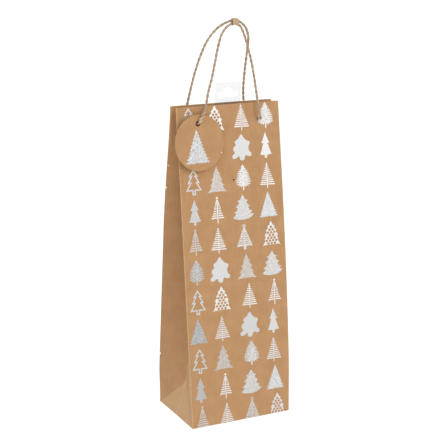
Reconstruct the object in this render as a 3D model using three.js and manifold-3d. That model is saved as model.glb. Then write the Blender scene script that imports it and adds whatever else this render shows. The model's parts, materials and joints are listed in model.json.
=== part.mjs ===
// A paper bottle gift bag with two rope handles, a round gift tag and a clear hang tab.
// Millimetres. +Z is up, the front panel faces -Y, and the origin is the centre of the base on the floor.
import * as THREE from "three";
import { mergeVertices } from "three/addons/utils/BufferGeometryUtils.js";
import Module from "manifold-3d";

const wasm = await Module();
wasm.setup();

// ---------- driving dimensions ----------

// the folded paper bag
const bagWidth = 120; // along X
const bagDepth = 88; // along Y, at the base
const panelHeight = 350; // measured up the leaning panel
const mouthGap = 16; // between the front and back rims, outside to outside
const paper = 0.4; // panels, gussets and folds
const gap = 0.3; // between pieces that touch

// the turned-over rim and its stiffening card
const rimCard = 0.8;
const rimCardHeight = 34;
const rimFoldHeight = 40;

// the base
const baseCard = 1;
const baseFlapOverlap = 12; // how far the two long flaps pass the middle
const sideFlapShortfall = 6; // a side flap is this much shorter than half the base is deep
const sideFlapTaper = 12; // and its short side this much narrower at each end
const baseInset = 0.9; // flaps and card keep this far inside the walls

// the gussets
const creaseFootInset = 12.4; // how far in the triangle's apex leans
const creaseFootHeight = 38; // height of that apex
const gussetFullFoldHeight = 150; // above this the gusset is folded as tight as the paper allows
const gussetPinch = 2.3; // how closely the folded halves lie together at the mouth

// the handles
const ropeDiameter = 2.8;
const holeSpacing = 73; // between the two holes of a panel
const holeDrop = 18; // from the rim down to the hole centres
const holeClearance = 1.1; // all round the rope, in the panels and in the tag
const knotWidth = 8;
const knotThickness = 4.2;

// the band round both ropes at their crest
const bandLength = 8.6;
const bandThickness = 0.3;
const bandCentreX = 12.3;

// the gift tag
const tagDiameter = 60;
const tagThickness = 0.5;
const tagHoleDrop = 10; // from the tag's edge to its hole centre
const tagYaw = 6; // degrees: its free side stands off the panel
const tagClearance = 0.7; // between its near edge and the panel

// the hang tab
const hangTabWidth = 31;
const hangTabHeight = 52;
const hangTabThickness = 0.4;
const hangTabRise = 23; // above the rim
const hangTabCentreX = 6.4;
const hangTabCorner = 2.5;
const slotWidth = 25;
const slotHeight = 6;
const slotHumpWidth = 11;
const slotHumpHeight = 5;
const slotDrop = 11; // from the tab's top edge to the top of the slot's wings

// the glued side seam
const seamWidth = 12;
const seamInset = 3;

// The handles' centre lines above the turn at each hole: points chosen by hand, front then back.
const frontHandlePoints = [
  [-35.8, -15.4, 332.2], [-34.7, -16.1, 334.8], [-32.9, -15.8, 338.4], [-30.6, -14.7, 342.8],
  [-27.9, -13.1, 348.9], [-24.5, -11.2, 362.0], [-18.9, -8.8, 377.4], [-14.0, -6.4, 393.5],
  [-9.4, -4.1, 409.0], [-4.6, -2.3, 421.0], [1.6, -1.2, 428.6], [7.6, -0.8, 432.0],
  [12.9, -0.8, 432.9], [17.3, -0.9, 430.6], [21.2, -2.0, 423.4], [24.2, -3.3, 413.7],
  [27.0, -5.0, 402.1], [29.5, -7.1, 388.3], [31.2, -9.2, 374.5], [32.4, -11.2, 361.7],
  [33.5, -13.1, 348.9], [33.9, -14.7, 342.8], [34.4, -15.8, 338.4], [35.1, -16.1, 334.8],
  [35.9, -15.4, 332.2],
];
const backHandlePoints = [
  [-37.0, 15.4, 332.2], [-37.8, 16.1, 334.8], [-38.3, 15.8, 338.4], [-38.2, 14.7, 342.8],
  [-37.5, 13.1, 348.9], [-34.4, 10.7, 365.3], [-30.6, 8.2, 382.4], [-25.8, 5.8, 398.4],
  [-19.7, 3.8, 413.0], [-12.2, 2.3, 423.6], [-3.0, 1.2, 431.2], [6.3, 0.9, 434.9],
  [13.2, 0.8, 436.2], [19.4, 0.9, 433.5], [25.0, 1.6, 428.8], [29.0, 2.6, 421.4],
  [30.5, 3.8, 413.2], [29.9, 5.1, 404.5], [29.3, 6.6, 393.5], [28.6, 8.4, 381.3],
  [28.2, 10.7, 365.0], [29.0, 12.5, 352.6], [30.6, 14.3, 344.4], [32.6, 15.8, 338.4],
  [34.7, 16.1, 334.8], [36.0, 15.4, 332.2],
];

// ---------- values that follow from them ----------

const halfWidth = bagWidth / 2;
const halfDepth = bagDepth / 2;
const lean = Math.asin((bagDepth - mouthGap) / 2 / panelHeight);
const mouthHeight = panelHeight * Math.cos(lean);
const ropeRadius = ropeDiameter / 2;
const holeDiameter = ropeDiameter + 2 * holeClearance;
const holeX = holeSpacing / 2;
const holeUp = panelHeight - holeDrop;
const tagTurn = THREE.MathUtils.degToRad(tagYaw);
// the tag's hole stands this far off the panel, and the ropes turn up in that plane
const tagStandOff = tagClearance + tagThickness + (tagDiameter / 2) * Math.sin(tagTurn);
const ropeStandOff = tagStandOff;
// how far behind a panel's outer face each layer of the rim starts
const rimCardDepth = paper + gap;
const rimFoldDepth = rimCardDepth + rimCard + gap;
const rimStackDepth = rimFoldDepth + paper + gap;
const panelFoot = 0.3; // the panels start this far up, so that the base alone meets the floor

// ---------- helpers ----------

function asManifold(geometry) {
  const bare = geometry.clone();
  for (const name of Object.keys(bare.attributes)) {
    if (name !== "position") bare.deleteAttribute(name);
  }
  const merged = mergeVertices(bare, 1e-4);
  return new wasm.Manifold(new wasm.Mesh({
    numProp: 3,
    vertProperties: merged.attributes.position.array,
    triVerts: new Uint32Array(merged.index.array),
  }));
}

function fromManifold(solid) {
  const mesh = solid.getMesh();
  const geometry = new THREE.BufferGeometry();
  geometry.setAttribute("position", new THREE.BufferAttribute(mesh.vertProperties, 3));
  geometry.setIndex(new THREE.BufferAttribute(mesh.triVerts, 1));
  return geometry;
}

// A profile in the (depth, height) plane of a wall, drawn out to the given width across it.
function acrossWall(profile, width) {
  const shape = new THREE.Shape(profile.map(([y, z]) => new THREE.Vector2(y, z)));
  const geometry = new THREE.ExtrudeGeometry(shape, { depth: width, bevelEnabled: false });
  // shape x -> Y, shape y -> Z, extrusion -> X
  const turn = new THREE.Matrix4().set(
    0, 0, 1, -width / 2,
    1, 0, 0, 0,
    0, 1, 0, 0,
    0, 0, 0, 1,
  );
  return geometry.applyMatrix4(turn);
}

// A flat sheet whose outline is in the wall's (x, height) plane, from depth y0 to y0 + thickness.
function wallSheet(shape, y0, thickness) {
  const geometry = new THREE.ExtrudeGeometry(shape, {
    depth: thickness, bevelEnabled: false, curveSegments: 12,
  });
  // shape x -> X, shape y -> Z, extrusion -> -Y
  geometry.rotateX(Math.PI / 2);
  return geometry.translate(0, y0 + thickness, 0);
}

function rectangle(x0, x1, z0, z1) {
  return new THREE.Shape([
    new THREE.Vector2(x0, z0), new THREE.Vector2(x1, z0),
    new THREE.Vector2(x1, z1), new THREE.Vector2(x0, z1),
  ]);
}

function roundHole(x, z, radius) {
  return new THREE.Path().absarc(x, z, radius, 0, 2 * Math.PI, true);
}

// A flat flap of the base, its outline given in (x, y), from height z0 up.
function baseSheet(points, z0, thickness) {
  const shape = new THREE.Shape(points.map(([x, y]) => new THREE.Vector2(x, y)));
  const geometry = new THREE.ExtrudeGeometry(shape, { depth: thickness, bevelEnabled: false });
  return geometry.translate(0, 0, z0);
}

// A closed thin solid between two grids of points that have the same rows and columns.
function slab(outer, inner) {
  const rows = outer.length;
  const cols = outer[0].length;
  const positions = [...outer.flat(), ...inner.flat()].flatMap((p) => [p.x, p.y, p.z]);
  const at = (side, r, c) => side * rows * cols + r * cols + c;
  const index = [];
  const quad = (a, b, c, d) => index.push(a, b, c, a, c, d);
  for (let r = 0; r + 1 < rows; r += 1) {
    for (let c = 0; c + 1 < cols; c += 1) {
      quad(at(0, r, c), at(0, r, c + 1), at(0, r + 1, c + 1), at(0, r + 1, c));
      quad(at(1, r, c), at(1, r + 1, c), at(1, r + 1, c + 1), at(1, r, c + 1));
    }
  }
  for (let c = 0; c + 1 < cols; c += 1) {
    quad(at(0, 0, c), at(1, 0, c), at(1, 0, c + 1), at(0, 0, c + 1));
    quad(at(0, rows - 1, c), at(0, rows - 1, c + 1), at(1, rows - 1, c + 1), at(1, rows - 1, c));
  }
  for (let r = 0; r + 1 < rows; r += 1) {
    quad(at(0, r, 0), at(0, r + 1, 0), at(1, r + 1, 0), at(1, r, 0));
    quad(at(0, r, cols - 1), at(1, r, cols - 1), at(1, r + 1, cols - 1), at(0, r + 1, cols - 1));
  }
  const geometry = new THREE.BufferGeometry();
  geometry.setAttribute("position", new THREE.Float32BufferAttribute(positions, 3));
  geometry.setIndex(index);
  return facingOut(geometry);
}

// Turns every face round if the closed surface encloses a negative volume.
function facingOut(geometry) {
  const p = geometry.attributes.position;
  const index = geometry.index.array;
  const a = new THREE.Vector3();
  const b = new THREE.Vector3();
  const c = new THREE.Vector3();
  let volume = 0;
  for (let i = 0; i < index.length; i += 3) {
    a.fromBufferAttribute(p, index[i]);
    b.fromBufferAttribute(p, index[i + 1]);
    c.fromBufferAttribute(p, index[i + 2]);
    volume += a.dot(b.cross(c));
  }
  if (volume < 0) {
    for (let i = 0; i < index.length; i += 3) {
      [index[i + 1], index[i + 2]] = [index[i + 2], index[i + 1]];
    }
  }
  return geometry;
}

function named(name, geometry, material) {
  const mesh = new THREE.Mesh(geometry, material);
  mesh.name = name;
  return mesh;
}

function finish(color, roughness, metalness = 0) {
  return new THREE.MeshStandardMaterial({ color, roughness, metalness });
}

const kraft = () => finish(0xc0956a, 0.85);
const darkKraft = () => finish(0xa9805a, 0.9);
const greyCard = () => finish(0xb7a487, 0.95);
const rope = () => finish(0xb49a7e, 0.9);
const clearFilm = () => finish(0xe9edf0, 0.15);

// ---------- the base: four folded flaps and a stiff card glued on them ----------

const flapX = halfWidth - 1.4;
const flapY = halfDepth - baseInset;
const level = (n) => n * (paper + gap); // the flaps lie on one another in layers

// The outline of a long flap: full width at its fold, mitred in towards the middle, then a tongue.
function longFlapOutline(tongueEnd) {
  const middle = flapX - flapY;
  return [
    [-flapX, -flapY], [flapX, -flapY], [middle, 0], [middle, tongueEnd], [-middle, tongueEnd],
    [-middle, 0],
  ];
}

function frontFlap() {
  return baseSheet(longFlapOutline(baseFlapOverlap), 0, paper);
}

// The back flap lies on the floor, then steps up over the front flap's tongue.
function backFlap() {
  const step = baseFlapOverlap + gap;
  const rise = level(1);
  const profile = [
    [flapY, 0], [step + rise, 0], [step, rise], [-baseFlapOverlap, rise],
    [-baseFlapOverlap, rise + paper], [step + gap, rise + paper], [step + gap + rise, paper],
    [flapY, paper],
  ];
  const joggled = acrossWall(profile, bagWidth);
  const outline = longFlapOutline(baseFlapOverlap).map(([x, y]) => [-x, -y]);
  const cutter = baseSheet(outline, -1, level(3) + 2);
  // the front flap's mitred sides lie below the tongue, so the joggled sheet keeps clear of them
  return fromManifold(asManifold(joggled).intersect(asManifold(cutter)));
}

function sideFlap(side) {
  const outer = side * (flapX - 0.1);
  const inner = side * (flapX - (halfDepth - sideFlapShortfall));
  const shortSide = flapY - sideFlapTaper;
  const outline = [[outer, -flapY], [outer, flapY], [inner, shortSide], [inner, -shortSide]];
  return baseSheet(side > 0 ? outline : outline.reverse(), level(2), paper);
}

function cardOnBase() {
  const x = halfWidth - 2.2;
  const y = flapY - 0.5;
  return baseSheet([[-x, -y], [x, -y], [x, y], [-x, y]], level(3), baseCard);
}

// ---------- the gussets ----------

const halfDepthAt = (z) => halfDepth - z * Math.tan(lean);

// How far the centre crease is folded in at a height.
function creaseInset(z) {
  if (z <= creaseFootHeight) return creaseFootInset;
  const halfSheet = halfDepth;
  const tight = (h) => Math.sqrt(halfSheet ** 2 - halfDepthAt(h) ** 2);
  const footShare = creaseFootInset / tight(creaseFootHeight);
  const rise = (z - creaseFootHeight) / (gussetFullFoldHeight - creaseFootHeight);
  return tight(z) * (footShare + (1 - footShare) * THREE.MathUtils.smoothstep(rise, 0, 1));
}

// The bent outline of a gusset's front left half at a height: from behind the panel's edge, round
// the corner, then in to the centre crease. Points run along the middle of the paper.
function gussetOutline(z, bends) {
  const side = -halfWidth + paper / 2;
  const h = halfDepthAt(z);
  const behindPanel = -(h - paper - gap - 0.1);
  const corner = -(h - rimStackDepth - paper / 2);
  const crease = -(gap + paper) / 2 - 0.1;
  const reach = creaseInset(z) - paper / 2;
  const pinch = THREE.MathUtils.smoothstep(z, 0.3 * mouthHeight, 0.9 * mouthHeight);
  const power = 1 + (gussetPinch - 1) * pinch;
  const points = [new THREE.Vector2(side, behindPanel), new THREE.Vector2(side, corner)];
  for (let i = 1; i <= bends; i += 1) {
    const s = i / bends;
    const left = (1 - s) ** power;
    points.push(new THREE.Vector2(side + reach * s, corner * left + crease * (1 - left)));
  }
  return points;
}

// The two faces of the paper along an outline, half a thickness to each side.
function paperFaces(outline) {
  return [1, -1].map((sign) => outline.map((p, i) => {
    const before = outline[Math.max(i - 1, 0)];
    const after = outline[Math.min(i + 1, outline.length - 1)];
    const along = after.clone().sub(before).normalize();
    const normal = new THREE.Vector2(-along.y, along.x).multiplyScalar((sign * paper) / 2);
    if (i === 1) normal.set(normal.x * 1.1, normal.y * 0.9);
    return p.clone().add(normal);
  }));
}

// One half of a gusset, from the diagonal fold up to the rim: side -1 is left, face -1 is front.
function gussetHalf(side, face) {
  const rows = 22;
  const bends = 6;
  const outer = [];
  const inner = [];
  for (let r = 0; r <= rows; r += 1) {
    const outerRow = [];
    const innerRow = [];
    for (let c = 0; c < bends + 2; c += 1) {
      const share = Math.max(0, c - 1) / bends;
      const foot = panelFoot + 1 + creaseFootHeight * share;
      const t = r / rows;
      const z = foot + (mouthHeight - foot) * t ** 1.2;
      const [a, b] = paperFaces(gussetOutline(z, bends));
      outerRow.push(new THREE.Vector3(-side * a[c].x, -face * a[c].y, z));
      innerRow.push(new THREE.Vector3(-side * b[c].x, -face * b[c].y, z));
    }
    outer.push(outerRow);
    inner.push(innerRow);
  }
  return slab(outer, inner);
}

// The triangle below the diagonal folds, which leans in with the folded gusset.
function gussetTriangle(side) {
  const foot = 0.2;
  const corner = halfDepth - baseInset;
  const slope = creaseFootInset / creaseFootHeight;
  const edge = (x, y, z) => new THREE.Vector3(-side * x, y, z);
  const face = (shift) => [
    [edge(-halfWidth + shift, -corner, foot), edge(-halfWidth + shift, corner, foot)],
    [
      edge(-halfWidth + slope * creaseFootHeight + shift, -0.4, creaseFootHeight - 0.6),
      edge(-halfWidth + slope * creaseFootHeight + shift, 0.4, creaseFootHeight - 0.6),
    ],
  ];
  return slab(face(0.1), face(0.1 + paper));
}

// ---------- a wall: panel, stiffening card and turned-over rim, each with two rope holes ----------

// In a wall's own frame Z runs up the panel, -Y faces out, and the panel's outer face is at y = 0.
function wallFrame() {
  const frame = new THREE.Group();
  frame.position.set(0, -halfDepth, 0);
  frame.rotation.x = -lean;
  return frame;
}

function punched(shape, radius) {
  for (const side of [-1, 1]) shape.holes.push(roundHole(side * holeX, holeUp, radius));
  return shape;
}

function panel() {
  const outline = rectangle(-halfWidth, halfWidth, panelFoot, panelHeight);
  return wallSheet(punched(outline, holeDiameter / 2), 0, paper);
}

function stiffeningCard() {
  const top = panelHeight - paper - gap;
  const half = halfWidth - 3;
  const outline = rectangle(-half, half, top - rimCardHeight, top);
  return wallSheet(punched(outline, holeDiameter / 2), rimCardDepth, rimCard);
}

// The rim is turned over the card: a cap along the top and a strip down the inside.
function turnedRim() {
  const profile = [
    [paper + gap, panelHeight], [paper + gap, panelHeight - paper],
    [rimFoldDepth, panelHeight - paper], [rimFoldDepth, panelHeight - rimFoldHeight],
    [rimFoldDepth + paper, panelHeight - rimFoldHeight], [rimFoldDepth + paper, panelHeight],
  ];
  let solid = asManifold(acrossWall(profile, bagWidth - 4));
  for (const side of [-1, 1]) {
    const drill = new THREE.CylinderGeometry(holeDiameter / 2, holeDiameter / 2, 20, 24);
    drill.translate(side * holeX, 0, holeUp);
    solid = solid.subtract(asManifold(drill));
  }
  return fromManifold(solid);
}

// ---------- the handles ----------

// A knot behind the rim with a stub of rope through the holes, lying along a wall's Y axis.
function knot() {
  const stubEnd = -(ropeStandOff - ropeRadius - gap); // just short of the rope's ball
  const bulge = 10;
  const profile = [new THREE.Vector2(0, stubEnd), new THREE.Vector2(ropeRadius, stubEnd)];
  const start = rimStackDepth + knotThickness / 2;
  for (let i = 0; i <= bulge; i += 1) {
    const angle = -Math.PI / 2 + (Math.PI * i) / bulge;
    const radius = (knotWidth / 2) * Math.cos(angle);
    if (radius > ropeRadius || i > bulge / 2) {
      const along = start + (knotThickness / 2) * Math.sin(angle);
      profile.push(new THREE.Vector2(i === bulge ? 0 : radius, along));
    }
  }
  return new THREE.LatheGeometry(profile, 16);
}

// Where a rope turns on its way out of a hole, in the part's frame. face -1 is the front.
function ropeTurn(side, face) {
  const out = halfDepth - holeUp * Math.sin(lean) + ropeStandOff * Math.cos(lean);
  const up = holeUp * Math.cos(lean) + ropeStandOff * Math.sin(lean);
  return new THREE.Vector3(side * holeX, face * out, up);
}

function handleCurve(points, face) {
  const path = [ropeTurn(-1, face), ...points.map((p) => new THREE.Vector3(...p)), ropeTurn(1, face)];
  return new THREE.CatmullRomCurve3(path, false, "centripetal");
}

// The rope's tube, with a ball at each end about which it swings without touching its knot's stub.
function handleRope(points, face) {
  const sides = 8;
  const section = new THREE.Shape();
  for (let i = 0; i < sides; i += 1) {
    const angle = (2 * Math.PI * i) / sides;
    const x = ropeRadius * Math.cos(angle);
    const y = ropeRadius * Math.sin(angle);
    if (i === 0) section.moveTo(x, y);
    else section.lineTo(x, y);
  }
  const curve = handleCurve(points, face);
  const tube = new THREE.ExtrudeGeometry(section, {
    steps: 72, bevelEnabled: false, extrudePath: curve,
  });
  let solid = asManifold(tube);
  for (const side of [-1, 1]) {
    const ball = new THREE.SphereGeometry(ropeRadius, 10, 8);
    ball.translate(...ropeTurn(side, face).toArray());
    solid = solid.add(asManifold(ball));
  }
  return fromManifold(solid);
}

// The band covers both ropes from the front: under the front rope, up its front and over the back one.
function handleBand() {
  const curve = handleCurve(frontHandlePoints, -1);
  const samples = 400;
  const points = curve.getSpacedPoints(samples);
  const length = curve.getLength();
  const crest = points.reduce((best, p, i) => (
    Math.abs(p.x - bandCentreX) < Math.abs(points[best].x - bandCentreX) ? i : best
  ), 0);
  const steps = 10;
  const near = ropeRadius + 2 * gap;
  const far = near + bandThickness;
  const backY = 1.6; // the back rope's offset from the front one, along Y and outward
  const backOut = 3.1;
  const rim = (radius) => {
    const row = [];
    for (let a = -100; a >= -200; a -= 20) {
      const angle = THREE.MathUtils.degToRad(a);
      row.push([radius * Math.cos(angle), radius * Math.sin(angle)]);
    }
    for (let a = 155; a >= 95; a -= 20) {
      const angle = THREE.MathUtils.degToRad(a);
      row.push([backY + radius * Math.cos(angle), backOut + radius * Math.sin(angle)]);
    }
    return row;
  };
  const outer = [];
  const inner = [];
  for (let i = 0; i <= steps; i += 1) {
    const shift = bandLength * (i / steps - 0.5);
    const u = crest / samples + shift / length;
    const centre = curve.getPointAt(u);
    const tangent = curve.getTangentAt(u);
    const outward = new THREE.Vector3(-tangent.z, 0, tangent.x).normalize();
    const place = ([y, n]) => centre.clone()
      .addScaledVector(outward, n).add(new THREE.Vector3(0, y, 0));
    outer.push(rim(far).map(place));
    inner.push(rim(near).map(place));
  }
  return slab(outer, inner);
}

// ---------- the gift tag and the hang tab ----------

function tagDisc() {
  const radius = tagDiameter / 2;
  const outline = new THREE.Shape().absarc(0, tagHoleDrop - radius, radius, 0, 2 * Math.PI, false);
  outline.holes.push(roundHole(0, 0, holeDiameter / 2));
  const disc = new THREE.ExtrudeGeometry(outline, {
    depth: tagThickness, bevelEnabled: false, curveSegments: 48,
  });
  disc.rotateX(Math.PI / 2);
  return disc.translate(0, tagThickness / 2, 0);
}

// The tag hangs at the left hole of the front wall, turned so that its outer side stands off.
function placedTag(mesh) {
  mesh.position.set(-holeX, -tagStandOff, holeUp);
  mesh.rotation.z = tagTurn;
  return mesh;
}

function hangTab() {
  const top = panelHeight + hangTabRise;
  const bottom = top - hangTabHeight;
  const half = hangTabWidth / 2;
  const corner = hangTabCorner;
  const outline = new THREE.Shape();
  outline.moveTo(-half, bottom);
  outline.lineTo(half, bottom);
  outline.lineTo(half, top - corner);
  outline.absarc(half - corner, top - corner, corner, 0, Math.PI / 2, false);
  outline.lineTo(-half + corner, top);
  outline.absarc(-half + corner, top - corner, corner, Math.PI / 2, Math.PI, false);
  outline.lineTo(-half, bottom);
  const wingTop = top - slotDrop;
  const wingRound = slotHeight / 2;
  const wingX = slotWidth / 2 - wingRound;
  const hump = slotHumpWidth / 2;
  const slot = new THREE.Path();
  slot.moveTo(-wingX, wingTop - slotHeight);
  slot.absarc(-wingX, wingTop - wingRound, wingRound, -Math.PI / 2, -1.5 * Math.PI, true);
  slot.lineTo(-hump, wingTop);
  slot.quadraticCurveTo(-hump * 0.7, wingTop + slotHumpHeight, 0, wingTop + slotHumpHeight);
  slot.quadraticCurveTo(hump * 0.7, wingTop + slotHumpHeight, hump, wingTop);
  slot.lineTo(wingX, wingTop);
  slot.absarc(wingX, wingTop - wingRound, wingRound, Math.PI / 2, -Math.PI / 2, true);
  slot.lineTo(-wingX, wingTop - slotHeight);
  outline.holes.push(slot);
  return wallSheet(outline, rimStackDepth, hangTabThickness);
}

function seamFlap() {
  const outer = -halfWidth + seamInset;
  const top = panelHeight - rimFoldHeight - gap;
  return wallSheet(rectangle(outer, outer + seamWidth, 6, top), paper + gap, paper);
}

// ---------- assembly ----------

const bag = new THREE.Group();

bag.add(named("bottom_flap_front", frontFlap(), kraft()));
bag.add(named("bottom_flap_back", backFlap(), kraft()));
bag.add(named("bottom_flap_left", sideFlap(-1), kraft()));
bag.add(named("bottom_flap_right", sideFlap(1), kraft()));
bag.add(named("base_card", cardOnBase(), greyCard()));

for (const [label, side] of [["left", -1], ["right", 1]]) {
  bag.add(named(`${label}_gusset_triangle`, gussetTriangle(side), darkKraft()));
  bag.add(named(`${label}_gusset_front`, gussetHalf(side, -1), darkKraft()));
  bag.add(named(`${label}_gusset_back`, gussetHalf(side, 1), darkKraft()));
}

for (const [label, turn] of [["front", 0], ["back", Math.PI]]) {
  const turned = new THREE.Group();
  turned.rotation.z = turn;
  const wall = wallFrame();
  turned.add(wall);
  wall.add(named(`${label}_panel`, panel(), kraft()));
  wall.add(named(`${label}_rim_card`, stiffeningCard(), greyCard()));
  wall.add(named(`${label}_rim_fold`, turnedRim(), kraft()));
  for (const [sideLabel, side] of [["left", -1], ["right", 1]]) {
    const tied = named(`${label}_knot_${sideLabel}`, knot(), rope());
    tied.position.set(label === "front" ? side * holeX : -side * holeX, 0, holeUp);
    wall.add(tied);
  }
  if (label === "front") wall.add(placedTag(named("gift_tag", tagDisc(), kraft())));
  if (label === "back") {
    const tab = named("hang_tab", hangTab(), clearFilm());
    tab.position.x = -hangTabCentreX;
    wall.add(tab);
    wall.add(named("side_seam_flap", seamFlap(), kraft()));
  }
  bag.add(turned);
}

bag.add(named("front_handle_rope", handleRope(frontHandlePoints, -1), rope()));
bag.add(named("back_handle_rope", handleRope(backHandlePoints, 1), rope()));
bag.add(named("handle_band", handleBand(), kraft()));

export default bag;
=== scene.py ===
"""A paper bottle gift bag with rope handles, a round tag and a clear hang tab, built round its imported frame.
Metres, +Z up, the front panel towards -Y and the origin at the centre of the base."""

import json
import random
from math import ceil, cos, hypot, pi, radians, sin, sqrt

import bpy
import numpy as np
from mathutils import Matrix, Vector, noise
from mathutils.geometry import delaunay_2d_cdt


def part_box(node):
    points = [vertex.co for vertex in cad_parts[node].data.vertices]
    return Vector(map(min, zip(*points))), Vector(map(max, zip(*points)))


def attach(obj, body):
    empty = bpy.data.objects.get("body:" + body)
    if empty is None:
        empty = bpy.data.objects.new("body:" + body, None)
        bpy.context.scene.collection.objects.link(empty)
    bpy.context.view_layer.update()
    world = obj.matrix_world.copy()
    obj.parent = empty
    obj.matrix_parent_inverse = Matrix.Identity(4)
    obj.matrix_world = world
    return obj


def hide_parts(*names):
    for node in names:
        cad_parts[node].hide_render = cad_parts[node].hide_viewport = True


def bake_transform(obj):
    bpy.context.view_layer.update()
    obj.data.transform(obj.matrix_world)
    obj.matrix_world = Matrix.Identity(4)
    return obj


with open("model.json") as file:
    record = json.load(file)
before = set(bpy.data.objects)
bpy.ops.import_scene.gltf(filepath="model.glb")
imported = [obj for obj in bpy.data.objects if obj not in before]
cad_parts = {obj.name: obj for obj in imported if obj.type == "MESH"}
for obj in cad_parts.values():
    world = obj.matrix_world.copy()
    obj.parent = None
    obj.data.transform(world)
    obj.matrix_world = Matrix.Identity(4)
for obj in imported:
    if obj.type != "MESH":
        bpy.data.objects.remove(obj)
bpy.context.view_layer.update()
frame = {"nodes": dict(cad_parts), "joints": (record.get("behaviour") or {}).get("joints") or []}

MM = 0.001
TO_MM = (1000, 1000, 1000)
JOINTS = {joint["name"]: joint for joint in frame["joints"]}

# ---------- places and sizes that the frame gives ----------

HALF_DEPTH = -JOINTS["front_wall_fold"]["pos_m"][1]
TAG_AXIS = Vector(JOINTS["gift_tag_swing"]["axis"]).normalized()
SIN_LEAN = TAG_AXIS.z
COS_LEAN = -TAG_AXIS.y
TAN_LEAN = SIN_LEAN / COS_LEAN
HALF_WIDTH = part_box("front_panel")[1].x
PANEL_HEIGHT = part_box("front_panel")[1].z / COS_LEAN
MOUTH_HEIGHT = PANEL_HEIGHT * COS_LEAN
TAG_PIVOT = Vector(JOINTS["gift_tag_swing"]["pos_m"])
HOLE_X = -TAG_PIVOT.x
HOLE_UP = (TAG_PIVOT.y + HALF_DEPTH) * SIN_LEAN + TAG_PIVOT.z * COS_LEAN
STAND_OFF = TAG_PIVOT.z * SIN_LEAN - (TAG_PIVOT.y + HALF_DEPTH) * COS_LEAN

# ---------- sizes of the looks ----------

SHARP_DEGREES = 35
PAPER = 0.4 * MM
RIM_THICKNESS = 2.2 * MM
RIM_FOLD_HEIGHT = 40 * MM
RIM_ROUNDING = 0.55 * MM
RIM_INSET = 0.9 * MM  # a wall's inner side is this much narrower at each fold
STIFF_RIM_HEIGHT = 48 * MM  # the paper doesn't bow in this stretch below the rim's edge
FOLD_RADIUS = 0.5 * MM
PANEL_FOOT = 0.3 * MM
HOLE_RADIUS = 2.5 * MM
WALL_SWELL = 0.45
WALL_RIPPLE = 0.4

CREASE_FOOT_INSET = 12.4 * MM
CREASE_FOOT_HEIGHT = 38 * MM
CREASE_GAP = 0.02 * MM
GUSSET_FULL_FOLD_HEIGHT = 150 * MM
GUSSET_PINCH = 2.3
GUSSET_RIM_CLEARANCE = 0.4 * MM
GUSSET_RIM_RUN = 12 * MM  # the height over which a gusset moves in to clear the rim's layers
GUSSET_SWELL = 0.5 * MM

ROPE_DIAMETER = 2.8 * MM
ROPE_PITCH = 11 * MM
ROPE_STEP = 0.55 * MM
PLY_RADIUS = 0.94 * MM
PLY_OFFSET = 0.5 * MM
PLY_SIDES = 10
FRONT_LOOSE_LENGTH = 17 * MM  # the plies open out over this length at the rope's start
KNOT_LOOSE_LENGTH = 9 * MM
KNOT_SIZE = 0.82
KNOT_DEPTH = 0.8
BAND_LENGTH = 7.4 * MM
BAND_THICKNESS = 0.34 * MM
BAND_FLARE = 0.25 * MM
BAND_SLANT = 0.5 * MM
BAND_REACH = 3.9 * MM  # the most that the band stretches from the front rope up to the back one

TAG_RADIUS = 30 * MM
TAG_THICKNESS = 0.5 * MM
TAG_HOLE_DROP = 10 * MM
TAG_HOLE_RADIUS = 3 * MM
TAG_YAW = radians(6)
TAG_CURL = 0.9 * MM
TAG_HOLE_OFFSET = (-1.5 * MM, 0.4 * MM)
TAG_CENTRE_X = -0.9 * MM

TREE_PITCH = 32.6 * MM
TREE_TOP = 349.2 * MM
TREE_HEIGHT = 28 * MM
TREE_EDGE = 3 * MM  # the foil's longest edge, short enough to follow the bowed paper
FOIL_LIFT = 0.06 * MM
FOIL_SINK = 0.04 * MM
LEFT_COLUMN = -40  # trees left of this, in millimetres across the panel, have their foil painted darker as a painted reflection of darker surroundings, seen at a glancing angle

CAMERA_AZIMUTH = radians(-25.96)
CAMERA_ELEVATION = radians(14.45)
CAMERA_DISTANCE = 1.3485
CAMERA_TARGET = Vector((-0.00042, 0, 0.21453))
CAMERA_LENS = 98.6
SENSOR_WIDTH = 36
LIGHT_ANGLE = radians(30)
FLOOR_HALF_WIDTH = 12.0
FLOOR_DROP = 0.3 * MM

# The handles' centre lines in millimetres, from the turn at the left hole to the turn at the right one.
FRONT_HANDLE_POINTS = [
    (-37.3, -14.164, 331.2), (-36.6, -15.4, 332.5), (-35.4, -16.1, 334.8), (-33.3, -15.8, 338.4),
    (-30.6, -14.7, 342.8), (-27.9, -13.1, 348.9), (-24.5, -11.2, 362), (-18.9, -8.8, 377.4),
    (-14, -6.4, 393.5), (-9.4, -4.1, 409), (-4.6, -2.3, 421), (1.6, -1.2, 428.6),
    (7.6, -0.8, 432), (12.9, -0.8, 432.9), (17.3, -0.9, 430.6), (21.2, -2, 423.4),
    (24.2, -3.3, 413.7), (27, -5, 402.1), (29.5, -7.1, 388.3), (31.2, -9.2, 374.5),
    (32.4, -11.2, 361.7), (33.5, -13.1, 348.9), (33.9, -14.7, 342.8), (34.4, -15.8, 338.4),
    (35.1, -16.1, 334.8), (35.9, -15.4, 332.2), (36.5, -14.164, 330.685),
]
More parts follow.
